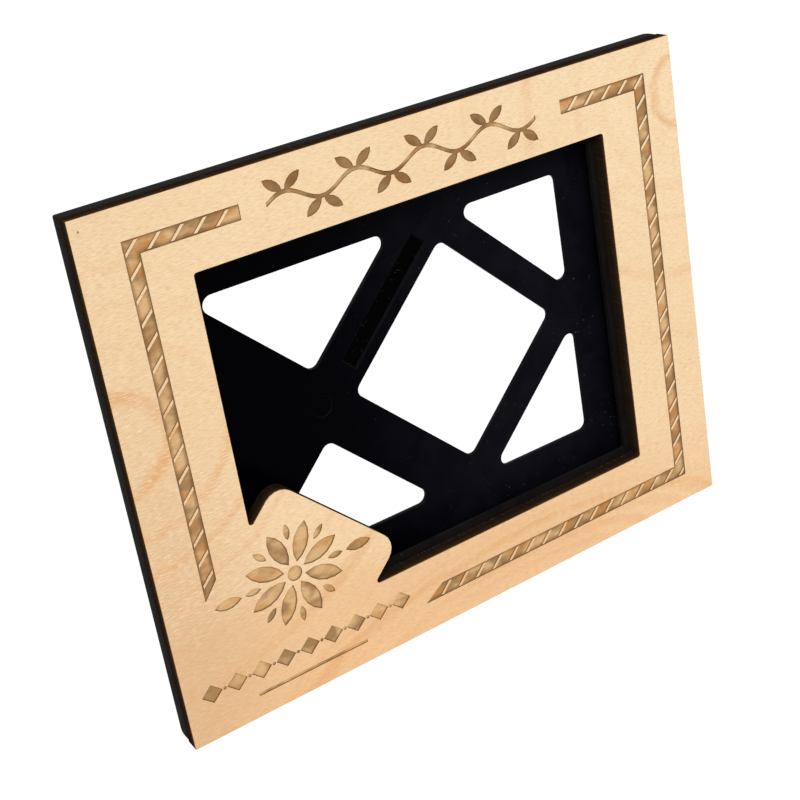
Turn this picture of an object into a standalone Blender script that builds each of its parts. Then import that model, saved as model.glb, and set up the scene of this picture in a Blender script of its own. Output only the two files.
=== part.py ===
"""Easel photo frame: an engraved wooden board on a moulded body, with a lattice back panel and a folding leg.

Metres, +Z up. The board faces -Y and its lower edge stands on Z = 0. The origin is the middle of the
bottom of the whole frame. Places on the board are given as a width and a height from its middle, and
depths are measured backwards from its front face.
"""
import math

import bmesh
import bpy
from mathutils import Matrix, Vector

# Wooden board and its window
BOARD_WIDTH = 0.254
BOARD_HEIGHT = 0.2032
BOARD_THICKNESS = 0.00635
WINDOW_WIDTH = 0.1779
WINDOW_HEIGHT = 0.1429
WINDOW_CORNER = 0.0012

# Plaque across the window's lower left corner, at 45 degrees
PLAQUE_SIDE = 0.044
PLAQUE_STEP = 0.0133
PLAQUE_CORNER = 0.0072

# Engraved band round the window
ENGRAVE_DEPTH = 0.0004
BAND_WIDTH = 0.00575
BAND_SIDE_MARGIN = 0.0153
BAND_END_MARGIN = 0.01185
BAND_SHIFT = 0.00075
BAND_GAP_LEFT = 0.068
BAND_GAP_RIGHT = 0.070
BAND_LEFT_END = 0.047
BAND_LEFT_SLANT = 0.007
BAND_BOTTOM_START = 0.024
BAND_BOTTOM_SLANT = 0.0085
STRIPE_PITCH = 0.00837
STRIPE_WIDTH = 0.001
STRIPE_PHASE = 0.0227
STRIPE_MARGIN = 0.0006

# Engraved ornaments
VINE_LENGTH = 0.116
VINE_RISE = 0.0862
VINE_SWING = 0.003
VINE_WAVES = 4
VINE_STROKE = 0.0017
VINE_STEPS = 56
VINE_LEAF_LENGTH = 0.0088
VINE_LEAF_WIDTH = 0.0038
VINE_LEAF_ANGLE = math.radians(38)
FLOWER_PLACE = (-0.0755, -0.0515)
FLOWER_RADIUS = 0.0205
FLOWER_EYE = 0.003
FLOWER_PETALS = 8
FLOWER_SPACE = 0.0014
PETAL_WIDTH = 0.0064
BUD_LENGTH = 0.0065
BUD_WIDTH = 0.0026
SIDE_LEAF_LENGTH = 0.011
SIDE_LEAF_WIDTH = 0.0044
LOZENGE_DROP = 0.083
LOZENGE_PITCH = 0.0102
LOZENGE_COUNT = 9
LOZENGE_HALF = (0.0042, 0.0038)
DOT_RADIUS = 0.0007
RULE_DROP = 0.0925
RULE_LENGTH = 0.047
RULE_WIDTH = 0.0013

# Moulded body behind the board
BODY_INSET = 0.0001
BODY_DEPTH = 0.010
BODY_CORNER = 0.0008
BODY_ROUND_DEPTH = 0.0065
BODY_ROUND_INSET = 0.002
BODY_WALL = 0.002
FLANGE_REACH = 0.003
FLANGE_THICKNESS = 0.002
RIB_THICKNESS = 0.0015
LONG_POCKETS = 6
SHORT_POCKETS = 3

# Double-sided tape between the board and the body
TAPE_RECESS = 0.0005
TAPE_CLEARANCE = 0.0001
TAPE_MARGIN = 0.0012
TAPE_SPACE = 0.004

# Lattice back panel
PANEL_WIDTH = 0.204
PANEL_HEIGHT = 0.153
PANEL_CORNER = 0.002
PANEL_PLATE = 0.002
PANEL_SKIRT = 0.0016
PRINT_SPACE = 0.0006
LATTICE_RISE = 0.05675
LATTICE_RIGHT = 0.074
TRIANGLE_WIDTH = 0.085
DIAMOND_PLACE = 0.0163
DIAMOND_REACH = 0.0468
WIDE_BAR = 0.0207
NARROW_BAR = 0.01285
HOLE_CORNER = 0.0034
TIP_CORNER = 0.0038
CHANNEL_START = 0.0185
CHANNEL_LENGTH = 0.0545
CHANNEL_WIDTH = 0.0075
CHANNEL_DEPTH = 0.0009
CHANNEL_SHIFT = 0.0016
MARK_RADIUS = 0.0043
MARK_DEPTH = 0.0003
MARK_OFFSET = 0.0079

# Easel leg, its bracket and its pin
LEAN = math.radians(14)
OPENING = math.radians(30)
BARREL_RADIUS = 0.0025
PIN_RADIUS = 0.001
PIN_CLEARANCE = 0.00006
PIN_HEAD_RADIUS = 0.0017
PIN_HEAD = 0.0007
EAR_RADIUS = 0.00275
EAR_THICKNESS = 0.0026
EAR_FOOT = 0.009
BRACKET_WIDTH = 0.018
BRACKET_LENGTH = 0.034
BRACKET_PLATE = 0.0015
BRACKET_CORNER = 0.003
HEEL_LENGTH = 0.005
HEEL_ROOT = 0.0017
LEG_WIDTH = 0.0175
LEG_FOOT_WIDTH = 0.0135
LEG_THICKNESS = 0.0036
LEG_START = 0.0005
LEG_FLOOR = 0.0014
LEG_RIB = 0.0018
LEG_CORNER = 0.002
LEG_FOOT_CORNER = 0.0064
LEG_CHAMFER = 0.0005
LEG_POCKETS = 4
LEG_POCKET_START = 0.008
LEG_SOLID_END = 0.012
POST_RADIUS = 0.0016
POST_HEAD_RADIUS = 0.0028
POST_HEAD = 0.0011
POST_START = 0.0125
POST_SPACING = 0.015

# Turn-buttons that hold the panel, and their screws
BUTTON_WIDTH = 0.009
BUTTON_REACH = 0.014
BUTTON_THICKNESS = 0.0016
BUTTON_TAIL_CORNER = 0.0044
BUTTON_TIP_CORNER = 0.002
BUTTON_CHAMFER = 0.0003
BUTTON_OFFSET = 0.008
BUTTON_SHIFT = 0.030
SCREW_RADIUS = 0.0015
SCREW_CLEARANCE = 0.0001
SCREW_LENGTH = 0.0052
SCREW_HEAD_RADIUS = 0.0031
SCREW_CROWN_RADIUS = 0.0024
SCREW_HEAD = 0.0013
DRIVE_LENGTH = 0.0032
DRIVE_WIDTH = 0.0009
DRIVE_DEPTH = 0.0008
BOSS_WALL = 0.0017

SEAT_GAP = 0.0003
OVERCUT = 0.001
ARC_STEP = math.radians(18)
ROUND_SIDES = 24
DOT_SIDES = 8
ROUND_STEPS = 6
LEAF_STEPS = 5

# Depths of the layers
body_front = BOARD_THICKNESS + SEAT_GAP
body_back = body_front + BODY_DEPTH
flange_back = body_front + FLANGE_THICKNESS
plate_front = body_back - PANEL_PLATE
carried_front = body_back + SEAT_GAP
bracket_back = carried_front + BRACKET_PLATE
button_back = carried_front + BUTTON_THICKNESS
pivot_depth = carried_front + BARREL_RADIUS
total_depth = pivot_depth + EAR_RADIUS

# Half sizes as (width, height)
half_board = Vector((BOARD_WIDTH / 2, BOARD_HEIGHT / 2))
half_window = Vector((WINDOW_WIDTH / 2, WINDOW_HEIGHT / 2))
half_body = half_board - Vector((BODY_INSET, BODY_INSET))
half_channel = half_body - Vector((BODY_WALL, BODY_WALL))
half_flange = half_window - Vector((FLANGE_REACH, FLANGE_REACH))
half_panel = Vector((PANEL_WIDTH / 2, PANEL_HEIGHT / 2))
half_seat = half_panel + Vector((SEAT_GAP, SEAT_GAP))
half_core = half_seat + Vector((BODY_WALL, BODY_WALL))

# The wide bars' outer edges, and the place where the bars cross, with the leg's pivot behind it
DIAGONAL = math.sqrt(2)
bar_outer = DIAMOND_PLACE - DIAMOND_REACH - WIDE_BAR * DIAGONAL
crossing = DIAMOND_PLACE - DIAMOND_REACH - WIDE_BAR / DIAGONAL

# When the frame leans back it stands on the body's rounded lower back edge, and the open leg's foot meets
# the ground line through that place
stand_turn = math.atan(math.tan(LEAN) * BODY_ROUND_DEPTH / BODY_ROUND_INSET)
stand_depth = body_back - BODY_ROUND_DEPTH * (1 - math.sin(stand_turn))
stand_drop = half_body.y - BODY_ROUND_INSET * (1 - math.cos(stand_turn))
ground_drop = stand_drop - (pivot_depth - stand_depth) * math.tan(LEAN)
leg_length = ground_drop / (math.cos(OPENING) / DIAGONAL + math.sin(OPENING) * math.tan(LEAN))
leg_shoulder = EAR_RADIUS + 3 * SEAT_GAP


def placement(u, v, w, origin):
    """A matrix that takes local (u, v, w) to the world, from its three directions and its origin."""
    return Matrix.Translation(origin) @ Matrix((u, v, w)).transposed().to_4x4()


# On the face: width, height from the middle, depth. On the leg: along it, across it, depth from the pivot.
# From the leg's side: along it, depth from the pivot, across it.
BACKWARD = Vector((0, 1, 0))
down_leg = Vector((1, 0, -1)).normalized()
across_leg = Vector((1, 0, 1)).normalized()
face = placement(Vector((1, 0, 0)), Vector((0, 0, 1)), BACKWARD, Vector((0, -total_depth / 2, half_board.y)))
pivot = face @ Vector((crossing, 0, pivot_depth))
leg_plan = placement(down_leg, across_leg, BACKWARD, pivot)
leg_side = placement(down_leg, BACKWARD, across_leg, pivot)


def clear_scene():
    """Remove every object, so that the part stands alone."""
    for thing in list(bpy.data.objects):
        bpy.data.objects.remove(thing, do_unlink=True)


def material(name, colour, roughness, metallic=0.0):
    """A Principled BSDF with one colour."""
    made = bpy.data.materials.new(name)
    made.use_nodes = True
    shader = made.node_tree.nodes["Principled BSDF"]
    shader.inputs["Base Color"].default_value = (*colour, 1)
    shader.inputs["Roughness"].default_value = roughness
    shader.inputs["Metallic"].default_value = metallic
    made.diffuse_color = (*colour, 1)
    return made


def solid(name, stacks, place, finish=None, origin=None):
    """An object of closed bodies; a stack is a list of (outline, level) with equally many points each."""
    work = bmesh.new()
    for stack in stacks:
        rings = [[work.verts.new(place @ Vector((*point, level))) for point in outline]
                 for outline, level in stack]
        for lower, upper in zip(rings, rings[1:]):
            for index in range(len(lower)):
                work.faces.new((lower[index - 1], lower[index], upper[index], upper[index - 1]))
        work.faces.new(rings[0])
        work.faces.new(rings[-1])
    bmesh.ops.recalc_face_normals(work, faces=work.faces)
    mesh = bpy.data.meshes.new(name)
    work.to_mesh(mesh)
    work.free()
    mesh.shade_smooth()
    mesh.set_sharp_from_angle(angle=math.radians(35))
    thing = bpy.data.objects.new(name, mesh)
    bpy.context.scene.collection.objects.link(thing)
    if finish:
        mesh.materials.append(finish)
    if origin:
        mesh.transform(Matrix.Translation(-origin))
        thing.location = origin
    return thing


def prism(name, outlines, low, high, place=face, finish=None):
    """An object of prisms, one for each outline, between two levels."""
    return solid(name, [[(outline, low), (outline, high)] for outline in outlines], place, finish)


def combine(target, tool, operation="DIFFERENCE"):
    """Cut a tool out of a target, or join or intersect the two, and hide the tool."""
    step = target.modifiers.new(tool.name, "BOOLEAN")
    step.operation = operation
    step.object = tool
    tool.hide_render = True
    tool.display_type = "WIRE"


def rectangle(half, centre=(0, 0)):
    """The corners of an upright rectangle, anticlockwise, from its half sizes."""
    return [(centre[0] + sx * half[0], centre[1] + sy * half[1]) for sx, sy in ((-1, -1), (1, -1), (1, 1), (-1, 1))]


def mirrored(outline):
    """An outline turned over top to bottom, still anticlockwise."""
    return [(x, -y) for x, y in reversed(outline)]


def circle(radius, centre=(0, 0), sides=ROUND_SIDES):
    """A round outline."""
    turns = [2 * math.pi * index / sides for index in range(sides)]
    return [(centre[0] + radius * math.cos(turn), centre[1] + radius * math.sin(turn)) for turn in turns]


def toward(angle, distance, start=(0, 0)):
    """The point at a distance in a direction."""
    return (start[0] + distance * math.cos(angle), start[1] + distance * math.sin(angle))


def rounded(corners, radii):
    """An outline with arcs for corners; radii is one radius for them all, or a list with one for each."""
    if not isinstance(radii, list):
        radii = [radii] * len(corners)
    outline = []
    for index, radius in enumerate(radii):
        corner = Vector(corners[index])
        back = (Vector(corners[index - 1]) - corner).normalized()
        ahead = (Vector(corners[(index + 1) % len(corners)]) - corner).normalized()
        if radius == 0:
            outline.append(tuple(corner))
            continue
        half_angle = back.angle(ahead) / 2
        middle = corner + (back + ahead).normalized() * radius / math.sin(half_angle)
        start = corner + back * radius / math.tan(half_angle) - middle
        sweep = math.copysign(math.pi - 2 * half_angle, ahead.x * back.y - ahead.y * back.x)
        steps = max(2, math.ceil(abs(sweep) / ARC_STEP - 0.01))
        for step in range(steps + 1):
            outline.append(tuple(middle + Matrix.Rotation(sweep * step / steps, 2) @ start))
    return outline


def inset(outline, distance):
    """An anticlockwise outline moved inwards, point for point."""
    points = [Vector(point) for point in outline]
    moved = []
    for index, point in enumerate(points):
        back = (point - points[index - 1]).normalized()
        ahead = (points[(index + 1) % len(points)] - point).normalized()
        inward = Vector((-back.y - ahead.y, back.x + ahead.x)).normalized()
        moved.append(tuple(point + inward * distance / inward.dot(Vector((-back.y, back.x)))))
    return moved


def chamfered(outline, low, high, chamfer):
    """A stack whose upper edge has a chamfer."""
    return [(outline, low), (outline, high - chamfer), (inset(outline, chamfer), high)]


def rounded_over(half, low, high, run):
    """A stack of an upright rectangle whose upper edge is rounded over along a run, with the body's corners."""
    stack = [(rounded(rectangle(half), BODY_CORNER), low)]
    for step in range(ROUND_STEPS + 1):
        turn = math.pi / 2 * step / ROUND_STEPS
        pull = BODY_ROUND_INSET * (1 - math.cos(turn))
        outline = rounded(rectangle((half.x - pull, half.y - pull)), BODY_CORNER)
        stack.append((outline, high - run * (1 - math.sin(turn))))
    return stack


def leaf(length, width, base, angle):
    """A pointed leaf of two arcs that grows from its base in a direction."""
    half = length / 2
    rise = width / 2
    radius = (half * half + rise * rise) / (2 * rise)
    spread = math.asin(half / radius)
    turns = [spread * (1 - 2 * step / LEAF_STEPS) for step in range(LEAF_STEPS)]
    upper = [(radius * math.sin(turn), radius * math.cos(turn) - radius + rise) for turn in turns]
    points = upper + [(-x, -y) for x, y in upper]
    turn = Matrix.Rotation(angle, 2)
    return [tuple(turn @ (Vector(point) + Vector((half, 0))) + Vector(base)) for point in points]


def window_outline():
    """The window, whose lower left corner is taken up by the plaque."""
    left, bottom = -half_window
    corners = [(left, half_window.y),
               (left, bottom + PLAQUE_SIDE),
               (left + PLAQUE_STEP, bottom + PLAQUE_SIDE + PLAQUE_STEP),
               (left + PLAQUE_SIDE + PLAQUE_STEP, bottom + PLAQUE_STEP),
               (left + PLAQUE_SIDE, bottom),
               (half_window.x, bottom),
               tuple(half_window)]
    small = WINDOW_CORNER
    return rounded(corners, [small, small, PLAQUE_CORNER, PLAQUE_CORNER, small, small, small])


def band_outlines(margin=0.0):
    """The band's two parts, less a margin along their edges; their ends keep more of it."""
    left = BAND_SHIFT - half_board.x + BAND_SIDE_MARGIN + margin
    right = BAND_SHIFT + half_board.x - BAND_SIDE_MARGIN - margin
    top = half_board.y - BAND_END_MARGIN - margin
    width = BAND_WIDTH - 2 * margin
    left_end = 2 * margin - BAND_LEFT_END
    bottom_start = 3 * margin - BAND_BOTTOM_START
    first_end = -BAND_GAP_LEFT - 2 * margin
    second_end = BAND_GAP_RIGHT + margin
    first = [(first_end, top), (left, top), (left, left_end), (left + width, left_end + BAND_LEFT_SLANT),
             (left + width, top - width), (first_end, top - width)]
    second = [(bottom_start, -top), (right, -top), (right, top), (second_end, top), (second_end, top - width),
              (right - width, top - width), (right - width, width - top),
              (bottom_start + BAND_BOTTOM_SLANT, width - top)]
    return [first, second]


def stripe_outlines():
    """Slanted strips across the whole board, of which the band keeps short pieces."""
    reach = half_board.x + half_board.y
    half = STRIPE_WIDTH / DIAGONAL
    first = math.ceil((-reach - STRIPE_PHASE) / STRIPE_PITCH)
    last = math.floor((reach - STRIPE_PHASE) / STRIPE_PITCH)
    offsets = [STRIPE_PHASE + index * STRIPE_PITCH for index in range(first, last + 1)]
    low, high = -half_board.y, half_board.y
    return [[(offset - half + low, low), (offset + half + low, low), (offset + half + high, high),
             (offset - half + high, high)] for offset in offsets]


def vine_outlines():
    """A wavy stem, and the leaves that grow outwards from its crests."""
    def height(x):
        return VINE_RISE + VINE_SWING * math.sin(2 * math.pi * VINE_WAVES * x / VINE_LENGTH)

    places = [VINE_LENGTH * (step / VINE_STEPS - 0.5) for step in range(VINE_STEPS + 1)]
    lower = [(x, height(x) - VINE_STROKE / 2) for x in places]
    upper = [(x, height(x) + VINE_STROKE / 2) for x in reversed(places)]
    leaves = []
    for index in range(2 * VINE_WAVES):
        x = VINE_LENGTH * ((index + 0.5) / (2 * VINE_WAVES) - 0.5)
        side = math.copysign(1, height(x) - VINE_RISE)
        for angle in (side * VINE_LEAF_ANGLE, side * (math.pi - VINE_LEAF_ANGLE)):
            base = toward(angle, VINE_STROKE / 3, (x, height(x)))
            leaves.append(leaf(VINE_LEAF_LENGTH, VINE_LEAF_WIDTH, base, angle))
    return lower + upper, leaves


def flower_outlines():
    """Petals round an eye, buds between the petals' tips, and a leaf on either side."""
    outlines = [circle(FLOWER_EYE, FLOWER_PLACE)]
    start = FLOWER_EYE + FLOWER_SPACE
    for index in range(FLOWER_PETALS):
        angle = 2 * math.pi * (index + 0.5) / FLOWER_PETALS
        outlines.append(leaf(FLOWER_RADIUS - start, PETAL_WIDTH, toward(angle, start, FLOWER_PLACE), angle))
        angle = 2 * math.pi * index / FLOWER_PETALS
        base = toward(angle, FLOWER_RADIUS - BUD_LENGTH, FLOWER_PLACE)
        outlines.append(leaf(BUD_LENGTH, BUD_WIDTH, base, angle))
    for side in (0, math.pi):
        base = toward(side, FLOWER_RADIUS + FLOWER_SPACE, FLOWER_PLACE)
        outlines.append(leaf(SIDE_LEAF_LENGTH, SIDE_LEAF_WIDTH, base, side))
    return outlines


def rule_outlines():
    """A row of lozenges with dots between them, over a plain rule."""
    middle = FLOWER_PLACE[0]
    across, up = LOZENGE_HALF
    outlines = [rectangle((RULE_LENGTH / 2, RULE_WIDTH / 2), (middle, -RULE_DROP))]
    for index in range(LOZENGE_COUNT):
        x = middle + (index - (LOZENGE_COUNT - 1) / 2) * LOZENGE_PITCH
        outlines.append([(x - across, -LOZENGE_DROP), (x, -LOZENGE_DROP - up), (x + across, -LOZENGE_DROP),
                         (x, up - LOZENGE_DROP)])
        if index:
            outlines.append(circle(DOT_RADIUS, (x - LOZENGE_PITCH / 2, -LOZENGE_DROP), DOT_SIDES))
    return outlines


def make_board(wood):
    """The wooden board with its window, striped band and ornaments."""
    board = prism("front_board", [rectangle(half_board)], 0, BOARD_THICKNESS, finish=wood)
    combine(board, prism("window_cut", [window_outline()], -OVERCUT, BOARD_THICKNESS + OVERCUT))
    stripes = prism("band_stripes", stripe_outlines(), -OVERCUT, ENGRAVE_DEPTH + OVERCUT)
    limits = prism("stripe_limits", band_outlines(STRIPE_MARGIN), -2 * OVERCUT, ENGRAVE_DEPTH + 2 * OVERCUT)
    combine(stripes, limits, "INTERSECT")
    band = prism("band_cut", band_outlines(), -OVERCUT / 2, ENGRAVE_DEPTH)
    combine(band, stripes)
    combine(board, band)
    stem, leaves = vine_outlines()
    ornaments = {"stem_cut": [stem], "leaf_cut": leaves, "flower_cut": flower_outlines(), "rule_cut": rule_outlines()}
    for name, outlines in ornaments.items():
        combine(board, prism(name, outlines, -OVERCUT, ENGRAVE_DEPTH))


def tape_strips():
    """Each strip of tape, between the window and the seat's wall: its name, half sizes and centre."""
    inner = half_window + Vector((TAPE_MARGIN, TAPE_MARGIN))
    outer = half_core - Vector((TAPE_MARGIN, TAPE_MARGIN))
    middle = (inner + outer) / 2
    side_half = ((outer.x - inner.x) / 2, outer.y)
    end_half = (inner.x - TAPE_SPACE, (outer.y - inner.y) / 2)
    return [("tape_left", side_half, (-middle.x, 0)), ("tape_right", side_half, (middle.x, 0)),
            ("tape_bottom", end_half, (0, -middle.y)), ("tape_top", end_half, (0, middle.y))]


def make_tape(adhesive):
    """Four strips that hold the board on the body."""
    low = BOARD_THICKNESS + TAPE_CLEARANCE
    high = body_front + TAPE_RECESS - TAPE_CLEARANCE
    for name, half, centre in tape_strips():
        prism(name, [rectangle(half, centre)], low, high, finish=adhesive)


def button_places():
    """Each turn-button: its name, its screw's place and the direction to the panel."""
    side = half_seat.x + BUTTON_OFFSET
    end = half_seat.y + BUTTON_OFFSET
    return [("left", Vector((-side, 0)), Vector((1, 0))), ("right", Vector((side, 0)), Vector((-1, 0))),
            ("top", Vector((0, end)), Vector((0, -1))), ("bottom", Vector((-BUTTON_SHIFT, -end)), Vector((0, 1)))]


def rib_outlines():
    """The ribs across the body's hollow rim."""
    half = RIB_THICKNESS / 2
    outlines = []
    for index in range(1, LONG_POCKETS):
        x = half_channel.x * (2 * index / LONG_POCKETS - 1)
        outlines.append(rectangle((half, half_body.y), (x, 0)))
    for index in range(SHORT_POCKETS + 1):
        y = (half_core.y - half) * (2 * index / SHORT_POCKETS - 1)
        outlines.append(rectangle((half_body.x, half), (0, y)))
    return outlines


def make_body(plastic):
    """The moulded body: a rim that is hollow at the front, and a flange behind the board's window."""
    shell = rounded_over(half_body, body_front, body_back, BODY_ROUND_DEPTH)
    body = solid("body_frame", [shell], face, plastic)
    seat = rounded(rectangle(half_seat), PANEL_CORNER + SEAT_GAP)
    combine(body, prism("seat_cut", [seat], flange_back, body_back + OVERCUT))
    opening = rounded(rectangle(half_flange), WINDOW_CORNER)
    combine(body, prism("flange_cut", [opening], body_front - OVERCUT, flange_back + OVERCUT))
    low = body_front - OVERCUT
    high = body_back - BODY_WALL
    hollow = solid("rim_hollow", [rounded_over(half_channel, low, high, BODY_ROUND_DEPTH - BODY_WALL)], face)
    combine(hollow, prism("rim_core", [rectangle(half_core)], low - OVERCUT, high + OVERCUT))
    for index, rib in enumerate(rib_outlines()):
        combine(hollow, prism(f"rim_rib_{index}", [rib], low - OVERCUT, high + OVERCUT))
    boss_radius = SCREW_RADIUS + SCREW_CLEARANCE + BOSS_WALL
    bosses = [circle(boss_radius, place) for _, place, _ in button_places()]
    combine(hollow, prism("rim_bosses", bosses, low - OVERCUT, high + OVERCUT))
    combine(body, hollow)
    recesses = [rectangle((half[0] + SEAT_GAP, half[1] + SEAT_GAP), centre) for _, half, centre in tape_strips()]
    combine(body, prism("tape_recesses", recesses, low, body_front + TAPE_RECESS))
    holes = [circle(SCREW_RADIUS + SCREW_CLEARANCE, place) for _, place, _ in button_places()]
    combine(body, prism("screw_holes", holes, body_back - SCREW_LENGTH - SEAT_GAP, body_back + OVERCUT))


def lattice_outlines():
    """The panel's five openings: a diamond, and four triangles between the bars and the edges."""
    top = LATTICE_RISE
    right = bar_outer + top
    left = right - TRIANGLE_WIDTH
    wide = rounded([(right, top), (left, top), ((left + right) / 2, top - TRIANGLE_WIDTH / 2)],
                   [HOLE_CORNER, TIP_CORNER, HOLE_CORNER])
    edge = DIAMOND_PLACE + DIAMOND_REACH + NARROW_BAR * DIAGONAL
    narrow = rounded([(LATTICE_RIGHT, top), (edge - top, top), (LATTICE_RIGHT, edge - LATTICE_RIGHT)], HOLE_CORNER)
    tips = ((-DIAMOND_REACH, 0), (0, -DIAMOND_REACH), (DIAMOND_REACH, 0), (0, DIAMOND_REACH))
    diamond = rounded([(DIAMOND_PLACE + x, y) for x, y in tips], HOLE_CORNER)
    return [wide, mirrored(wide), diamond, narrow, mirrored(narrow)]


def channel_outline():
    """A shallow channel along the bar that rises to the right."""
    along = Vector((1, 1)).normalized()
    across = Vector((1, -1)).normalized()
    middle = Vector((crossing, 0)) + along * (CHANNEL_START + CHANNEL_LENGTH / 2) + across * CHANNEL_SHIFT
    return [tuple(middle + along * sx * CHANNEL_LENGTH / 2 + across * sy * CHANNEL_WIDTH / 2)
            for sx, sy in ((-1, 1), (1, 1), (1, -1), (-1, -1))]


def post_distances():
    """How far up from the pivot the bracket's posts stand."""
    return [POST_START, POST_START + POST_SPACING]


def make_panel(plastic):
    """The lattice panel: a plate with a skirt forward, and posts whose heads hold the leg's bracket."""
    outline = rounded(rectangle(half_panel), PANEL_CORNER)
    panel = prism("back_panel", [outline], flange_back + PRINT_SPACE, body_back, finish=plastic)
    hollow = rectangle(half_panel - Vector((PANEL_SKIRT, PANEL_SKIRT)))
    combine(panel, prism("panel_hollow", [hollow], flange_back, plate_front))
    combine(panel, prism("lattice_cut", lattice_outlines(), plate_front - OVERCUT, body_back + OVERCUT))
    combine(panel, prism("channel_cut", [channel_outline()], plate_front - OVERCUT, plate_front + CHANNEL_DEPTH))
    marks = [(crossing, 0), (DIAMOND_PLACE + DIAMOND_REACH + NARROW_BAR, 0),
             (DIAMOND_PLACE, DIAMOND_REACH + MARK_OFFSET), (DIAMOND_PLACE, -DIAMOND_REACH - MARK_OFFSET)]
    outlines = [circle(MARK_RADIUS, mark) for mark in marks]
    combine(panel, prism("mark_cut", outlines, plate_front - OVERCUT, plate_front + MARK_DEPTH))
    foot = body_back - PANEL_PLATE / 2 - pivot_depth
    neck = bracket_back + SEAT_GAP - pivot_depth
    posts = []
    for distance in post_distances():
        shaft = circle(POST_RADIUS, (-distance, 0))
        head = circle(POST_HEAD_RADIUS, (-distance, 0))
        posts.append([(shaft, foot), (shaft, neck), (head, neck), (head, neck + POST_HEAD / 2),
                      (shaft, neck + POST_HEAD)])
    combine(panel, solid("panel_posts", posts, leg_plan), "UNION")


def make_bracket(plastic):
    """The bracket under the posts' heads: a plate and two ears that carry the pin."""
    low = carried_front - pivot_depth
    plate = bracket_back - pivot_depth
    half = BRACKET_WIDTH / 2
    far = BRACKET_LENGTH + OVERCUT
    profile = rounded([(-far, low), (EAR_RADIUS, low), (EAR_RADIUS, EAR_RADIUS), (-EAR_RADIUS, EAR_RADIUS),
                       (-EAR_FOOT, plate), (-far, plate)], [0, 0, EAR_RADIUS, EAR_RADIUS, 0, 0])
    bracket = prism("leg_bracket", [profile], -half - OVERCUT, half + OVERCUT, leg_side, plastic)
    trim = rounded([(-BRACKET_LENGTH, -half), (2 * EAR_RADIUS, -half), (2 * EAR_RADIUS, half),
                    (-BRACKET_LENGTH, half)], [BRACKET_CORNER, 0, 0, BRACKET_CORNER])
    combine(bracket, prism("bracket_trim", [trim], low - OVERCUT, EAR_RADIUS + OVERCUT, leg_plan), "INTERSECT")
    near = -BARREL_RADIUS - 2 * SEAT_GAP
    over = EAR_RADIUS + OVERCUT
    slot = [(near, low - OVERCUT), (over, low - OVERCUT), (over, over), (-EAR_FOOT - OVERCUT, over),
            (-EAR_FOOT - OVERCUT, plate), (near, plate)]
    inner = half - EAR_THICKNESS
    combine(bracket, prism("bracket_slot", [slot], -inner, inner, leg_side))
    bore = circle(PIN_RADIUS + PIN_CLEARANCE)
    combine(bracket, prism("bracket_bore", [bore], -half - OVERCUT, half + OVERCUT, leg_side))
    holes = [circle(POST_RADIUS + SEAT_GAP, (-distance, 0)) for distance in post_distances()]
    combine(bracket, prism("post_holes", holes, low - OVERCUT, plate + OVERCUT, leg_plan))


def make_pin(steel):
    """The hinge pin, with a head outside either ear."""
    shaft = circle(PIN_RADIUS)
    head = circle(PIN_HEAD_RADIUS)
    inner = BRACKET_WIDTH / 2 + SEAT_GAP
    outer = inner + PIN_HEAD
    stack = [(head, -outer), (head, -inner), (shaft, -inner), (shaft, inner), (head, inner), (head, outer)]
    solid("hinge_pin", [stack], leg_side, steel)


def heel_outline():
    """The leg's heel from the side: its front face lies along the bracket when the leg is open."""
    closing = Matrix.Rotation(-OPENING, 2)
    level = bracket_back + SEAT_GAP - pivot_depth
    root = closing @ Vector((0, level))
    tip = closing @ Vector((-HEEL_LENGTH, level))
    return [tuple(root), (LEG_START, HEEL_ROOT), (-BARREL_RADIUS, EAR_RADIUS), (tip.x, EAR_RADIUS), tuple(tip)]


def leg_half_width(distance):
    """Half the leg's width at a distance from the pivot."""
    share = (distance - leg_shoulder) / (leg_length - leg_shoulder)
    return (LEG_WIDTH + (LEG_FOOT_WIDTH - LEG_WIDTH) * share) / 2


def pocket_outlines():
    """The leg's pockets, between ribs."""
    run = (leg_length - LEG_SOLID_END - LEG_POCKET_START + LEG_RIB) / LEG_POCKETS
    outlines = []
    for index in range(LEG_POCKETS):
        near = LEG_POCKET_START + index * run
        far = near + run - LEG_RIB
        near_half = leg_half_width(near) - LEG_RIB
        far_half = leg_half_width(far) - LEG_RIB
        corners = [(near, -near_half), (far, -far_half), (far, far_half), (near, near_half)]
        outlines.append(rounded(corners, LEG_CORNER))
    return outlines


def make_leg(plastic):
    """The folding leg: a tapered, pocketed strut with a barrel and a heel at the pivot."""
    low = carried_front - pivot_depth
    high = low + LEG_THICKNESS
    head = BRACKET_WIDTH / 2 - EAR_THICKNESS - SEAT_GAP
    wide = LEG_WIDTH / 2
    foot = LEG_FOOT_WIDTH / 2
    outline = rounded([(LEG_START, -head), (leg_shoulder, -head), (leg_shoulder, -wide), (leg_length, -foot),
                       (leg_length, foot), (leg_shoulder, wide), (leg_shoulder, head), (LEG_START, head)],
                      [0, 0, LEG_CORNER, LEG_FOOT_CORNER, LEG_FOOT_CORNER, LEG_CORNER, 0, 0])
    leg = solid("easel_leg", [chamfered(outline, low, high, LEG_CHAMFER)], leg_plan, plastic, pivot)
    combine(leg, prism("leg_barrel", [circle(BARREL_RADIUS)], -head, head, leg_side), "UNION")
    combine(leg, prism("leg_heel", [heel_outline()], -head, head, leg_side), "UNION")
    combine(leg, prism("leg_pockets", pocket_outlines(), low + LEG_FLOOR, high + OVERCUT, leg_plan))
    bore = circle(PIN_RADIUS + PIN_CLEARANCE)
    combine(leg, prism("leg_bore", [bore], -head - OVERCUT, head + OVERCUT, leg_side))


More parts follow.
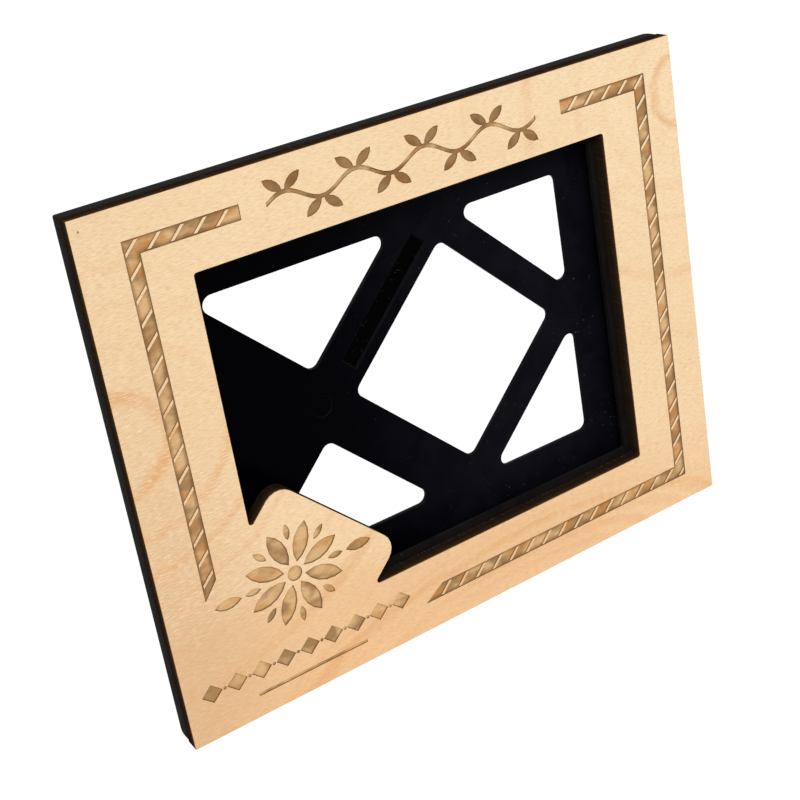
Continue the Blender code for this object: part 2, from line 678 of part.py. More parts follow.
def make_button(name, place, direction, plastic):
    """A turn-button that reaches from its screw over the panel's edge."""
    across = Vector((-direction.y, direction.x)) * BUTTON_WIDTH / 2
    tail = place - direction * BUTTON_WIDTH / 2
    tip = place + direction * BUTTON_REACH
    corners = [tail - across, tip - across, tip + across, tail + across]
    outline = rounded(corners, [BUTTON_TAIL_CORNER, BUTTON_TIP_CORNER, BUTTON_TIP_CORNER, BUTTON_TAIL_CORNER])
    stack = chamfered(outline, carried_front, button_back, BUTTON_CHAMFER)
    origin = face @ Vector((*place, carried_front))
    button = solid(f"turn_button_{name}", [stack], face, plastic, origin)
    hole = circle(SCREW_RADIUS + SCREW_CLEARANCE, place)
    combine(button, prism(f"button_hole_{name}", [hole], carried_front - OVERCUT, button_back + OVERCUT))


def make_screw(name, place, steel):
    """A screw with a cross recess, whose head stands just off the button."""
    shaft = circle(SCREW_RADIUS, place)
    head = circle(SCREW_HEAD_RADIUS, place)
    crown = circle(SCREW_CROWN_RADIUS, place)
    under = button_back + SEAT_GAP
    top = under + SCREW_HEAD
    stack = [(shaft, body_back - SCREW_LENGTH), (shaft, under), (head, under), (head, under + SCREW_HEAD / 2),
             (crown, top)]
    screw = solid(f"button_screw_{name}", [stack], face, steel)
    long, short = DRIVE_LENGTH / 2, DRIVE_WIDTH / 2
    corners = [(-long, -short), (-short, -short), (-short, -long), (short, -long), (short, -short), (long, -short),
               (long, short), (short, short), (short, long), (-short, long), (-short, short), (-long, short)]
    cross = [(place.x + x, place.y + y) for x, y in corners]
    combine(screw, prism(f"screw_drive_{name}", [cross], top - DRIVE_DEPTH, top + OVERCUT))


def build():
    """Make every piece."""
    clear_scene()
    wood = material("maple", (0.72, 0.53, 0.33), 0.55)
    plastic = material("black_plastic", (0.008, 0.008, 0.009), 0.35)
    dark = material("leg_plastic", (0.012, 0.012, 0.013), 0.4)
    steel = material("zinc_steel", (0.55, 0.55, 0.56), 0.35, 1.0)
    adhesive = material("tape", (0.75, 0.75, 0.72), 0.7)
    make_board(wood)
    make_tape(adhesive)
    make_body(plastic)
    make_panel(plastic)
    make_bracket(dark)
    make_pin(steel)
    make_leg(dark)
    for name, place, direction in button_places():
        make_button(name, place, direction, dark)
        make_screw(name, place, steel)


build()
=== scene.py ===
"""Looks of an easel photo frame: a laser-cut maple board on a black moulded body with a lattice back.

Metres, +Z up, the board faces -Y. The sections follow the frame as it is put together, from the board to
the turn-buttons, and the last one sets up the studio and the camera.
"""
import math

import bmesh
import bpy
from mathutils import Matrix, Vector


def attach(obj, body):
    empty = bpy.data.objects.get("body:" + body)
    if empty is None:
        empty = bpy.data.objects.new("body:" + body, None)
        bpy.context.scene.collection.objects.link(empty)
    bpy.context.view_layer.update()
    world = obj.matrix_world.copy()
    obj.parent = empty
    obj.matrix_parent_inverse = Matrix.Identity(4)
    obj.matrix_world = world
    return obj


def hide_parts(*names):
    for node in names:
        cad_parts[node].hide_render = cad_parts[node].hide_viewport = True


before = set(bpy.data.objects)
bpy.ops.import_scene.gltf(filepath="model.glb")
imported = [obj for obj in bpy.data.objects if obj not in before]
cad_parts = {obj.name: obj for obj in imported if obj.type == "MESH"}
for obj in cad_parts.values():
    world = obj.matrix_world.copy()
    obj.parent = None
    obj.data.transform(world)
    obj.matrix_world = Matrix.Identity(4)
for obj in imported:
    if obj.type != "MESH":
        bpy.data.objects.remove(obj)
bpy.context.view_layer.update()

# Board: one piece of maple, cut out and engraved by laser. The cuts leave charred walls, and the engraving
# leaves brown floors 0.4 mm deep that are darker along their walls. It is stuck to the body with tape.
BOARD_FRONT = -0.0111
BOARD_MIDDLE = 0.1016
ENGRAVED_FLOOR = -0.0107

# The scorch on an engraved floor: how far it reaches from the wall, and at which share of that it has
# faded to SCORCH_HALF
SCORCH_REACH = 0.0011
SCORCH_SHARE = 0.36
SCORCH_EDGE = 0.25
SCORCH_HALF = 0.60

# The striped band: the least area that tells it from the ornaments, the reach of its scorch, the place
# across, half the width and half the height of its midline, and where the toasting off that line sets in
BAND_AREA = 0.0005
BAND_REACH = 0.00028
BAND_MIDLINE = (0.00075, 0.108825, 0.086875)
BAND_TOASTED = (0.0008, 0.0029)

MAPLE = (0.930, 0.695, 0.430)
MAPLE_PALE = (0.980, 0.770, 0.510)
MAPLE_WARM = (0.878, 0.566, 0.316)
MAPLE_DULL = (0.745, 0.482, 0.270)
MAPLE_FLECK = (0.660, 0.400, 0.190)
MAPLE_LATE = (0.790, 0.435, 0.200)
MAPLE_KNOT = (0.220, 0.110, 0.040)
ENGRAVED = (0.385, 0.228, 0.102)
ENGRAVED_PALE = (0.740, 0.480, 0.230)
ENGRAVED_ORANGE = (0.620, 0.270, 0.080)
SCORCH = (0.170, 0.080, 0.028)
SCORCHED_WALL = (0.250, 0.130, 0.050)
CHAR = (0.0175, 0.0108, 0.0066)
CHAR_BROWN = (0.0700, 0.0350, 0.0155)
# The painted highlight along the back of the window's lower edge
BACK_EDGE_HIGHLIGHT = (0.150, 0.090, 0.065)

# Where the face changes tone: heights from the middle of the face, and places across it. The warm tone
# reaches a little higher on the left and is fainter on the right. The bright corner is where across and up
# together are large, and the face is darker and duller towards the left.
WARM_SLANT = 0.06
WARM_BELOW = (-0.052, -0.074)
WARM_ACROSS = (0.127, 0.030)
WARMER_DOWN = (0.095, -0.040)
BRIGHT_CORNER = (0.080, 0.190)
DULL_ACROSS = (-0.070, -0.122)
DULL_DOWN = (0.080, -0.100)
KNOT_PLACE = (-0.1238, BOARD_FRONT, BOARD_MIDDLE + 0.0972)
KNOT_EDGE = (0.0006, 0.0002)

# The grain's features: their sizes across, through and up the board. GRAIN_SEED moves the gleams and the
# dashes away from the flecks, which have nearly the same pattern.
HILLS = (0.120, 0.5, 0.065)
RINGS_PER_HILL = 10.0
RING_SHARPNESS = 6.0
CLOUDS = (0.011, 0.2, 0.008)
GLEAMS = (0.0032, 0.010, 0.00032)
DASHES = (0.0030, 0.010, 0.00040)
FLECKS = (0.0025, 0.010, 0.00028)
GRAIN_SEED = (3.1, 0.0, 7.7)
GRAIN_HEIGHT = 0.00006

# The burnt surfaces: the sizes of their features, the depths from the face at which they change, and the
# height below which the painted highlight on the back of the window's lower edge shows
PATCHES = (0.0085, 0.02, 0.0060)
EMBERS = (0.0065, 0.02, 0.0050)
STREAKS = (0.00045, 0.030, 0.00045)
LAYERS = (0.020, 0.0009, 0.020)
FLOOR_DEPTH = (0.00010, 0.00035)
LIP_DEPTH = (0.00042, 0.00065)
BROWN_DEPTH = (0.0040, 0.0)
HIGHLIGHT_DEPTH = (0.0050, 0.0060)
HIGHLIGHT_BELOW = (0.045, 0.040)

# The growth lines: the middle of a family of ovals, across and up from the middle of the face, how far it
# is stretched across, how much of it shows above that middle, and for each line its distance upwards from
# the middle, its width and its strength
GROWTH_LINES = (
    (-0.131, 0.021, 1.2, 1.00, ((0.0185, 0.0055, 0.90),)),
    (-0.131, 0.021, 1.2, 0.30, ((0.0370, 0.0034, 0.55), (0.0500, 0.0034, 0.55), (0.0625, 0.0030, 0.40),
                                (0.0830, 0.0040, 0.20), (0.1030, 0.0050, 0.55), (0.1280, 0.0040, 0.15))),
    (0.131, 0.079, 1.0, 1.00, ((0.0150, 0.0045, 0.60), (0.0270, 0.0035, 0.16), (0.0400, 0.0040, 0.14),
                               (0.0540, 0.0030, 0.18), (0.0780, 0.0055, 0.36), (0.1060, 0.0050, 0.14))),
    (0.025, -0.115, 3.0, 1.00, ((0.0205, 0.0030, 0.30), (0.0255, 0.0030, 0.42), (0.0310, 0.0030, 0.26),
                                (0.0365, 0.0045, 0.62), (0.0405, 0.0024, 0.28))),
)
GROWTH_BEND = 0.0060
BEND_SIZE = (0.022, 0.1, 0.014)
BREAK_SIZE = (0.030, 0.1, 0.018)
LINE_ENDING = 0.6
LINES_FADE = (-0.012, 0.012)


def merged_copy(node, piece, body):
    """A copy of a CAD node with its loose corners joined, which stands for the node and rides on a body."""
    shape = bmesh.new()
    shape.from_mesh(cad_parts[node].data)
    bmesh.ops.remove_doubles(shape, verts=shape.verts, dist=1e-6)
    mesh = bpy.data.meshes.new(piece)
    thing = bpy.data.objects.new(piece, mesh)
    bpy.context.scene.collection.objects.link(thing)
    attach(thing, body)
    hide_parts(node)
    return thing, shape


def new_material(name, roughness, metallic=0.0, level=0.5):
    """A Principled material, its node tree and its shader."""
    made = bpy.data.materials.new(name)
    made.use_nodes = True
    shader = made.node_tree.nodes["Principled BSDF"]
    shader.inputs["Roughness"].default_value = roughness
    shader.inputs["Metallic"].default_value = metallic
    shader.inputs["Specular IOR Level"].default_value = level
    return made, made.node_tree, shader


def node(tree, kind, inputs, **settings):
    """A shader node; each input, by name or number, is a value or the output that feeds it."""
    made = tree.nodes.new("ShaderNode" + kind)
    for name, value in settings.items():
        setattr(made, name, value)
    for name, value in inputs.items():
        if isinstance(value, bpy.types.NodeSocket):
            tree.links.new(value, made.inputs[name])
        else:
            made.inputs[name].default_value = value
    return made


def maths(tree, operation, *values):
    """One sum on numbers."""
    return node(tree, "Math", dict(enumerate(values)), operation=operation).outputs[0]


def ramp(tree, value, low, high, start=0.0, end=1.0):
    """A smooth step from start to end as the value goes from low to high."""
    inputs = {"Value": value, "From Min": low, "From Max": high, "To Min": start, "To Max": end}
    return node(tree, "MapRange", inputs, interpolation_type="SMOOTHSTEP").outputs["Result"]


def blend(tree, share, under, over):
    """One colour laid over another by a share."""
    under = (*under, 1) if isinstance(under, tuple) else under
    over = (*over, 1) if isinstance(over, tuple) else over
    return node(tree, "Mix", {0: share, 6: under, 7: over}, data_type="RGBA").outputs[2]


def stretched(tree, place, size, offset=(0, 0, 0)):
    """Coordinates in which a feature of this size in metres is one unit."""
    scale = tuple(1 / length for length in size)
    return node(tree, "Mapping", {"Vector": place, "Location": offset, "Scale": scale}).outputs[0]


def noise(tree, vector, detail=2.0, distortion=0.0):
    """Smooth noise around one half."""
    inputs = {"Vector": vector, "Scale": 1.0, "Detail": detail, "Distortion": distortion}
    return node(tree, "TexNoise", inputs).outputs["Fac"]


def engraved_regions(shape):
    """The faces of each engraved floor, as one list for each floor."""
    waiting = {side.index: side for side in shape.faces
               if side.normal.y < -0.9 and abs(side.calc_center_median().y - ENGRAVED_FLOOR) < 1e-5}
    regions = []
    while waiting:
        region = [waiting.pop(min(waiting))]
        for side in region:
            near = [other.index for edge in side.edges for other in edge.link_faces]
            region += [waiting.pop(index) for index in near if index in waiting]
        regions.append(region)
    return regions


def make_board():
    """The CAD board, with two rims on each engraved floor over which the scorch fades inwards.

    The rims reach SCORCH_REACH in, or SCORCH_SHARE of the floor's area over its outline where that is less.
    The striped band is narrow past the ends of its stripes, so it has its own reach and is marked as well.
    """
    thing, shape = merged_copy("front_board", "maple_board", "frame")
    scorch = shape.verts.layers.float.new("scorch")
    band = shape.verts.layers.float.new("band")
    for corner in shape.verts:
        corner[scorch] = 1.0
    for region in engraved_regions(shape):
        inside = set(region)
        outline = sum(edge.calc_length() for side in region for edge in side.edges
                      if len(inside.intersection(edge.link_faces)) == 1)
        area = sum(side.calc_area() for side in region)
        reach = BAND_REACH if area > BAND_AREA else min(SCORCH_REACH, SCORCH_SHARE * area / outline)
        for corner in {corner for side in region for corner in side.verts}:
            corner[band] = float(area > BAND_AREA)
        for share, value in ((SCORCH_EDGE, SCORCH_HALF), (1 - SCORCH_EDGE, 0.0)):
            bmesh.ops.inset_region(shape, faces=region, thickness=share * reach, use_boundary=True,
                                   use_even_offset=True)
            for side in region:
                for corner in side.verts:
                    corner[scorch] = value
    shape.to_mesh(thing.data)
    shape.free()
    return thing


def from_middle(heights):
    """Heights from the middle of the face, as heights from the ground."""
    return [BOARD_MIDDLE + height for height in heights]


def growth_lines(tree, place):
    """How strongly the late wood of each growth line shows: it deepens slowly outwards and ends sharply.

    The place is bent by smooth noise and pressed together across by the family's stretch. A line rises
    smoothly over its width up to its distance from the family's middle, and falls over LINE_ENDING of its
    width past it. The sum over all lines is broken up by a second noise.
    """
    drift = node(tree, "TexNoise", {"Vector": stretched(tree, place, BEND_SIZE), "Scale": 1.0})
    drift = node(tree, "VectorMath", {0: drift.outputs["Color"], 1: (0.5, 0.5, 0.5)},
                 operation="SUBTRACT").outputs[0]
    bent = node(tree, "VectorMath", {0: drift, 1: (GROWTH_BEND, 0, GROWTH_BEND), 2: place},
                operation="MULTIPLY_ADD").outputs[0]
    total = 0.0
    for across, up, stretch, above, lines in GROWTH_LINES:
        middle = (-across / stretch, 0, -up - BOARD_MIDDLE)
        moved = node(tree, "Mapping", {"Vector": bent, "Location": middle,
                                       "Scale": (1 / stretch, 0, 1)}).outputs[0]
        distance = node(tree, "VectorMath", {0: moved}, operation="LENGTH").outputs["Value"]
        family = 0.0
        for line, width, strength in lines:
            deepening = ramp(tree, distance, line - width, line, 0.0, strength)
            ending = ramp(tree, distance, line + LINE_ENDING * width, line)
            family = maths(tree, "ADD", family, maths(tree, "MULTIPLY", deepening, ending))
        height = node(tree, "SeparateXYZ", {0: moved}).outputs["Z"]
        total = maths(tree, "MULTIPLY_ADD", family, ramp(tree, height, *LINES_FADE, 1.0, above), total)
    broken = noise(tree, stretched(tree, place, BREAK_SIZE), 2.0)
    return maths(tree, "MULTIPLY", total, ramp(tree, broken, 0.36, 0.56, 0.50, 1.15))


def maple(tree, place, flecks):
    """Planed maple: growth lines, a warmer bottom, a duller left, a paler upper right, and fine flecks."""
    sides = node(tree, "SeparateXYZ", {0: place}).outputs
    slant = maths(tree, "MULTIPLY_ADD", sides["X"], WARM_SLANT, sides["Z"])
    low = maths(tree, "MULTIPLY", ramp(tree, slant, *from_middle(WARM_BELOW), 0.0, 0.84),
                ramp(tree, sides["X"], *WARM_ACROSS, 0.40, 1.0))
    low = maths(tree, "ADD", low, ramp(tree, slant, *from_middle(WARMER_DOWN), 0.0, 0.16))
    corner = maths(tree, "ADD", sides["X"], sides["Z"])
    bright = ramp(tree, corner, *from_middle(BRIGHT_CORNER), 0.0, 0.5)
    left = maths(tree, "MULTIPLY", ramp(tree, sides["X"], *DULL_ACROSS),
                 ramp(tree, sides["Z"], *from_middle(DULL_DOWN), 0.22, 1.0))
    wood = blend(tree, low, blend(tree, bright, MAPLE, MAPLE_PALE), MAPLE_WARM)
    wood = blend(tree, left, wood, MAPLE_DULL)
    cloud = noise(tree, stretched(tree, place, CLOUDS), 2.0)
    wood = blend(tree, ramp(tree, cloud, 0.50, 0.80, 0.0, 0.32), wood, MAPLE_WARM)

    # Late wood: the growth lines, and faint rings that follow the contours of soft hills
    hill = noise(tree, stretched(tree, place, HILLS, (0.35, 0.0, 0.55)), 1.0, 0.45)
    ring = maths(tree, "FRACT", maths(tree, "MULTIPLY", hill, RINGS_PER_HILL))
    ring = maths(tree, "MULTIPLY", maths(tree, "POWER", ring, RING_SHARPNESS),
                 ramp(tree, ring, 1.0, 0.97, 0.0, 0.12))
    wood = blend(tree, maths(tree, "ADD", growth_lines(tree, place), ring), wood, MAPLE_LATE)

    # Pale gleams, fewer in the warm wood, then darker flecks and dashes, and one pin knot
    gleams = noise(tree, stretched(tree, place, GLEAMS, GRAIN_SEED), 2.0)
    gleaming = maths(tree, "MULTIPLY", ramp(tree, gleams, 0.46, 0.70, 0.0, 0.80),
                     ramp(tree, low, 0.0, 1.0, 1.0, 0.40))
    wood = blend(tree, gleaming, wood, MAPLE_PALE)
    wood = blend(tree, ramp(tree, flecks, 0.44, 0.72, 0.0, 0.46), wood, MAPLE_FLECK)
    dashes = noise(tree, stretched(tree, place, DASHES, GRAIN_SEED), 1.0)
    wood = blend(tree, ramp(tree, dashes, 0.62, 0.80, 0.0, 0.45), wood, MAPLE_FLECK)
    knot = node(tree, "VectorMath", {0: place, 1: KNOT_PLACE}, operation="DISTANCE").outputs["Value"]
    return blend(tree, ramp(tree, knot, *KNOT_EDGE, 0.0, 0.8), wood, MAPLE_KNOT)


def off_band_line(tree, sides):
    """Distance from the line along the middle of the striped band, which is a rectangle."""
    middle, half_width, half_height = BAND_MIDLINE
    across = maths(tree, "ABSOLUTE", maths(tree, "SUBTRACT", sides["X"], middle))
    up = maths(tree, "ABSOLUTE", maths(tree, "SUBTRACT", sides["Z"], BOARD_MIDDLE))
    outside = maths(tree, "MAXIMUM", maths(tree, "SUBTRACT", across, half_width),
                    maths(tree, "SUBTRACT", up, half_height))
    return maths(tree, "ABSOLUTE", outside)


def laser_cut_maple():
    """Maple on the face, brown engraved floors, and char on every cut wall."""
    made, tree, shader = new_material("laser_cut_maple", 0.6, level=0.0)
    place = node(tree, "TexCoord", {}).outputs["Object"]
    sides = node(tree, "SeparateXYZ", {0: place}).outputs
    depth = maths(tree, "SUBTRACT", sides["Y"], BOARD_FRONT)
    facing = node(tree, "SeparateXYZ", {0: node(tree, "NewGeometry", {}).outputs["Normal"]}).outputs
    wall = ramp(tree, maths(tree, "ABSOLUTE", facing["Y"]), 0.6, 0.4)
    flecks = noise(tree, stretched(tree, place, FLECKS), 2.0)

    # The engraved floor: scorched wood, paler and more orange by turns, and darkest along its walls
    patches = noise(tree, stretched(tree, place, PATCHES, (5.0, 0.0, 2.0)), 1.5)
    embers = noise(tree, stretched(tree, place, EMBERS, (1.0, 0.0, 9.0)), 1.5)
    floor = blend(tree, ramp(tree, patches, 0.36, 0.62), ENGRAVED, ENGRAVED_PALE)
    floor = blend(tree, ramp(tree, embers, 0.45, 0.73, 0.0, 0.70), floor, ENGRAVED_ORANGE)
    floor = blend(tree, ramp(tree, flecks, 0.45, 0.75, 0.0, 0.28), floor, SCORCH)
    scorch = node(tree, "Attribute", {}, attribute_name="scorch").outputs["Fac"]
    band = node(tree, "Attribute", {}, attribute_name="band").outputs["Fac"]
    toasted = ramp(tree, off_band_line(tree, sides), *BAND_TOASTED, 0.0, 0.66)
    toasted = maths(tree, "MULTIPLY", band, toasted)
    toasted = maths(tree, "MAXIMUM", toasted, maths(tree, "MULTIPLY", scorch, 0.95))
    floor = blend(tree, toasted, floor, SCORCH)
    engraved = maths(tree, "MULTIPLY", ramp(tree, depth, *FLOOR_DEPTH), ramp(tree, facing["Y"], -0.4, -0.6))
    surface = blend(tree, engraved, maple(tree, place, flecks), floor)

    # The cut walls: brown near the face, black below, in fine streaks that run through the thickness, and
    # with a painted highlight in paler streaks like fibres near the back of the window's upward lower edge,
    # where the beam left it
    streaks = noise(tree, stretched(tree, place, STREAKS), 2.0)
    layers = noise(tree, stretched(tree, place, LAYERS), 2.0)
    burnt = maths(tree, "ADD", ramp(tree, depth, *BROWN_DEPTH, 0.0, 0.7),
                  ramp(tree, streaks, 0.45, 0.8, 0.0, 0.5))
    burnt = maths(tree, "MULTIPLY", burnt, ramp(tree, layers, 0.3, 0.6, 0.3, 1.0))
    char = blend(tree, burnt, CHAR, CHAR_BROWN)
    upward = maths(tree, "MULTIPLY", ramp(tree, facing["Z"], 0.5, 0.8),
                   ramp(tree, sides["Z"], *HIGHLIGHT_BELOW))
    painted_highlight = maths(tree, "MULTIPLY", ramp(tree, depth, *HIGHLIGHT_DEPTH, 0.0, 0.8),
                 ramp(tree, streaks, 0.50, 0.74))
    char = blend(tree, maths(tree, "MULTIPLY", painted_highlight, upward), char, BACK_EDGE_HIGHLIGHT)
    lip = blend(tree, ramp(tree, depth, *LIP_DEPTH), SCORCHED_WALL, char)
    tree.links.new(blend(tree, wall, surface, lip), shader.inputs["Base Color"])

    grain = maths(tree, "MULTIPLY", maths(tree, "ADD", flecks, streaks), GRAIN_HEIGHT)
    tree.links.new(node(tree, "Bump", {"Height": grain, "Distance": 1.0, "Strength": 0.6}).outputs[0],
                   shader.inputs["Normal"])
    dull = ramp(tree, maths(tree, "ADD", flecks, wall), 0.3, 1.2, 0.52, 0.85)
    tree.links.new(dull, shader.inputs["Roughness"])
    return made


make_board().data.materials.append(laser_cut_maple())

# Tape: four strips of white double-sided foam tape between the board and the body, in shallow recesses.
TAPE_WHITE = (0.72, 0.71, 0.68)
TAPE_GREY = (0.52, 0.51, 0.48)
FOAM_CELL = 0.0004
FOAM_HEIGHT = 0.00005


def foam_tape():
    """Foam with fine cells."""
    made, tree, shader = new_material("foam_tape", 0.8)
    place = node(tree, "TexCoord", {}).outputs["Object"]
    cells = noise(tree, stretched(tree, place, (FOAM_CELL,) * 3), 3.0)
    foam = blend(tree, ramp(tree, cells, 0.4, 0.7), TAPE_WHITE, TAPE_GREY)
    tree.links.new(foam, shader.inputs["Base Color"])
    tree.links.new(node(tree, "Bump", {"Height": cells, "Distance": FOAM_HEIGHT}).outputs[0],
                   shader.inputs["Normal"])
    return made


def refinish(node_name, made):
    """Give a CAD node that stays as it is one finish in place of its own."""
    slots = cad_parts[node_name].data.materials
    slots.clear()
    slots.append(made)


tape_finish = foam_tape()
for name in ("tape_left", "tape_right", "tape_bottom", "tape_top"):
    refinish(name, tape_finish)

# Body: a black injection-moulded tray behind the board, hollow with ribs at the front, and with a flange
# round the window. Its edges are slightly rounded and polished by handling, and dust lies on its top,
# which is painted lighter as well for the light from above.
BODY_BLACK = (0.0082, 0.0064, 0.0062)
# The body's painted sheen colour, in the clouds of its gloss
BODY_SHEEN = (0.0114, 0.0088, 0.0085)
EDGE_BLACK = (0.0030, 0.0030, 0.0042)
DUST = (0.19, 0.19, 0.20)
BODY_EDGE = 0.0003
EDGE_ANGLE = math.radians(40)
EDGE_SHARE = 0.45
FLAT_ANGLE = math.radians(0.5)

# The moulded surface: the size of its pits and waves, of the clouds in its gloss, of the places where
# specks gather, of the cells that hold one speck each, and of its scratches. Each set of scratches has a
# turn in radians and a place in the noise.
PITS = 0.00035
WAVES = 0.006
GLOSS_CLOUDS = 0.012
GATHERINGS = 0.013
SPECK_CELL = 0.0024
FINE_SPECK_CELL = 0.0011
SCRATCHES = (0.0045, 0.05, 0.00016)
SCRATCH_TURNS = ((0.5, 2.0), (2.2, 7.0))
TEXTURE_HEIGHT = 0.00002
# How much dust and painted top light the upward faces take
TOP_DUST_AND_LIGHT = 0.05


def rounded_copy(node_name, piece, body, width):
    """A copy of a CAD node whose sharp edges have a small radius, as a moulding's have.

    An edge's radius is the given width, or EDGE_SHARE of the narrower face beside it where that is less.
    A face's width is its area over the edge's length. Flat faces are whole while that is worked out, and
    are cut into triangles again before the edges are rounded.
    """
    thing, shape = merged_copy(node_name, piece, body)
    bmesh.ops.dissolve_limit(shape, angle_limit=FLAT_ANGLE, verts=shape.verts, edges=shape.edges,
                             delimit={"NORMAL"})
    weights = shape.edges.layers.float.new("bevel_weight_edge")
    for edge in shape.edges:
        if len(edge.link_faces) == 2 and edge.calc_face_angle() > EDGE_ANGLE:
            narrower = min(side.calc_area() for side in edge.link_faces) / edge.calc_length()
            edge[weights] = min(1.0, EDGE_SHARE * narrower / width)
    bmesh.ops.triangulate(shape, faces=[side for side in shape.faces if len(side.verts) > 4])
    shape.to_mesh(thing.data)
    shape.free()
    thing.data.shade_smooth()
    radius = thing.modifiers.new("edge_radius", "BEVEL")
    radius.width = width
    radius.segments = 2
    radius.limit_method = "WEIGHT"
    radius.use_clamp_overlap = False
    radius.harden_normals = True
    radius.loop_slide = False
    thing.modifiers.new("flat_faces", "WEIGHTED_NORMAL")
    cut = thing.modifiers.new("triangles", "TRIANGULATE")
    cut.min_vertices = 5
    cut.keep_custom_normals = True
    return thing


def group_sockets(group, takes, gives):
    """Name a node group's inputs and outputs, and return its inner end nodes."""
    for name, kind, value in takes:
        socket = group.interface.new_socket(name, in_out="INPUT", socket_type=kind)
        if value is not None:
            socket.default_value = value
    for name, kind in gives:
        group.interface.new_socket(name, in_out="OUTPUT", socket_type=kind)
    return group.nodes.new("NodeGroupInput"), group.nodes.new("NodeGroupOutput")


def specks(tree, place, cell, power, largest):
    """Round specks, one to a cell at most, whose size falls off steeply from the largest."""
    grains = node(tree, "TexVoronoi", {"Vector": stretched(tree, place, (cell,) * 3), "Scale": 1.0})
    size = node(tree, "SeparateColor", {0: grains.outputs["Color"]}).outputs[0]
    limit = maths(tree, "MULTIPLY", maths(tree, "POWER", size, power), largest)
    return ramp(tree, maths(tree, "SUBTRACT", limit, grains.outputs["Distance"]), 0.0, 0.06)


def moulded_group():
    """Surface of a moulding: its texture as a height, clouds in its gloss, and specks and scratches."""
    group = bpy.data.node_groups.new("moulded surface", "ShaderNodeTree")
    start, end = group_sockets(
        group,
        [("Place", "NodeSocketVector", None), ("Texture", "NodeSocketFloat", 1.0),
         ("Dust", "NodeSocketFloat", 1.0)],
        [("Height", "NodeSocketFloat"), ("Cloud", "NodeSocketFloat"), ("Specks", "NodeSocketFloat")])
    place = start.outputs["Place"]
    pits = noise(group, stretched(group, place, (PITS,) * 3), 2.0)
    waves = noise(group, stretched(group, place, (WAVES,) * 3), 2.0)
    height = maths(group, "ADD", maths(group, "MULTIPLY", pits, start.outputs["Texture"]),
                   maths(group, "MULTIPLY", waves, 0.5))
    cloud = noise(group, stretched(group, place, (GLOSS_CLOUDS,) * 3, (4.0, 1.0, 2.0)), 4.0, 0.6)

    # Specks here and there, fine ones and scratches where they gather
    gathered = noise(group, stretched(group, place, (GATHERINGS,) * 3), 2.0)
    marks = maths(group, "ADD", maths(group, "MULTIPLY", specks(group, place, SPECK_CELL, 9.0, 0.12), 0.9),
                  maths(group, "MULTIPLY", specks(group, place, FINE_SPECK_CELL, 5.0, 0.24),
                        ramp(group, gathered, 0.50, 0.66, 0.0, 0.55)))
    for turn, spot in SCRATCH_TURNS:
        turned = node(group, "Mapping", {"Vector": place, "Rotation": (0, turn, 0)}).outputs[0]
        scratch = noise(group, stretched(group, turned, SCRATCHES, (spot, 0.0, spot)), 0.0)
        scratch = maths(group, "MULTIPLY", ramp(group, scratch, 0.80, 0.86, 0.0, 0.30),
                        ramp(group, gathered, 0.46, 0.60))
        marks = maths(group, "MAXIMUM", marks, scratch)
    marks = maths(group, "MULTIPLY", marks, start.outputs["Dust"])
    for value, name in ((height, "Height"), (cloud, "Cloud"), (marks, "Specks")):
        group.links.new(value, end.inputs[name])
    return group


moulded = moulded_group()


def black_moulding(name, colour, paler, roughness, texture, dust, level, spread=None):
    """Black plastic with its own gloss, texture and dust.

    It is paler in clouds, a painted sheen. With a spread, two places across the frame, it and its specks
    also fade away from the second place to the first, a painted reflection. Its upward faces take dust, and
    are painted lighter as well for the light that falls on them from above.
    """
    made, tree, shader = new_material(name, roughness, level=level)
    place = node(tree, "TexCoord", {}).outputs["Object"]
    surface = tree.nodes.new("ShaderNodeGroup")
    surface.node_tree = moulded
    tree.links.new(place, surface.inputs["Place"])
    surface.inputs["Texture"].default_value = texture
    surface.inputs["Dust"].default_value = dust
    cloud, marks = surface.outputs["Cloud"], surface.outputs["Specks"]
    # Painted sheen: the colour goes towards the paler one in the clouds of the gloss
    share = ramp(tree, cloud, 0.35, 0.7)
    if spread:
        # Painted reflection: across the frame the colour and the specks fade from full to nothing
        painted_reflection = ramp(tree, node(tree, "SeparateXYZ", {0: place}).outputs["X"], *spread)
        share = maths(tree, "MULTIPLY", maths(tree, "MULTIPLY_ADD", share, 0.4, 0.6), painted_reflection)
        marks = maths(tree, "MULTIPLY", marks, painted_reflection)
    tone = blend(tree, share, colour, paler)
    # Upward faces: dust, and a painted lighter tone for the light from above
    upward = node(tree, "SeparateXYZ", {0: node(tree, "NewGeometry", {}).outputs["Normal"]}).outputs["Z"]
    dust_and_top_light = maths(tree, "MULTIPLY", ramp(tree, upward, 0.30, 0.95, 0.0, TOP_DUST_AND_LIGHT * dust),
                    ramp(tree, cloud, 0.35, 0.60, 0.3, 1.0))
    dusted = blend(tree, maths(tree, "MAXIMUM", marks, dust_and_top_light), tone, DUST)
    tree.links.new(dusted, shader.inputs["Base Color"])
    gloss = ramp(tree, cloud, 0.3, 0.7, roughness - 0.05, roughness + 0.08)
    tree.links.new(gloss, shader.inputs["Roughness"])
    height = surface.outputs["Height"]
    bump = node(tree, "Bump", {"Height": height, "Distance": TEXTURE_HEIGHT, "Strength": 0.5})
    tree.links.new(bump.outputs[0], shader.inputs["Normal"])
    return made


def finish(thing, *finishes):
    """Give a piece its finishes: the first is all over, and a second is on its rounded edges."""
    for made in finishes:
        thing.data.materials.append(made)
    if len(finishes) > 1:
        thing.modifiers["edge_radius"].material = 1


edge_finish = black_moulding("polished_edges", EDGE_BLACK, EDGE_BLACK,
                             roughness=0.35, texture=0.5, dust=0.4, level=0.03)
body_finish = black_moulding("body_plastic", BODY_BLACK, BODY_SHEEN,
                             roughness=0.55, texture=1.0, dust=0.6, level=0.006)
finish(rounded_copy("body_frame", "moulded_body", "frame", BODY_EDGE), body_finish, edge_finish)

